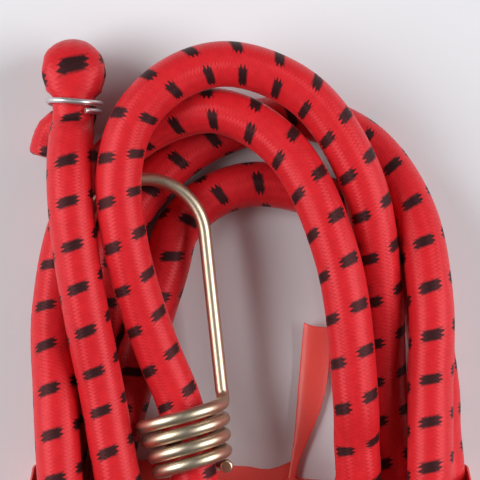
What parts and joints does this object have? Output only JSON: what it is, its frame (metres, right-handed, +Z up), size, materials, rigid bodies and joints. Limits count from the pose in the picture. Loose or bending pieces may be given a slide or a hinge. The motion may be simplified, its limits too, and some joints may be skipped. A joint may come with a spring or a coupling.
{
  "type": "bungee cord",
  "caption": "Braided elastic cord with a coiled wire hook at each end, folded into a flat hank and tied with a plastic strip.",
  "frame": {"origin": "middle of the part's box, on the surface that the hank lies on", "axes": "+Z up from that surface, towards the camera; +Y along the hank, from the second hook to the crowns; +X to the picture's right"},
  "size_m": [0.0972, 0.19, 0.0255],
  "materials": {
    "sheath": "braided polyester yarn, red with black flecks",
    "core": "matt rubber strands",
    "hook": "yellow zinc plate",
    "ring": "bright zinc plate",
    "tie": "thin flat plastic strip"
  },
  "bodies": {
    "hank": {"braided_sheath": "sheath", "rubber_core": "core", "end_ring_1": "ring", "end_ring_2": "ring", "hank_tie": "tie"},
    "first_hook": {"hook_1": "hook"},
    "second_hook": {"hook_2": "hook"}
  },
  "joints": [
    {"name": "first_hook_slide", "type": "slide", "parent": "hank", "child": "first_hook", "axis": [-0.2062, 0.9785, 0], "range_m": [-0.008, 0]},
    {"name": "second_hook_swivel", "type": "hinge", "parent": "hank", "child": "second_hook", "pos_m": [-0.01105, -0.08049, 0.0149], "axis": [-1, 0, 0], "range_deg": [0, 180]}
  ]
}
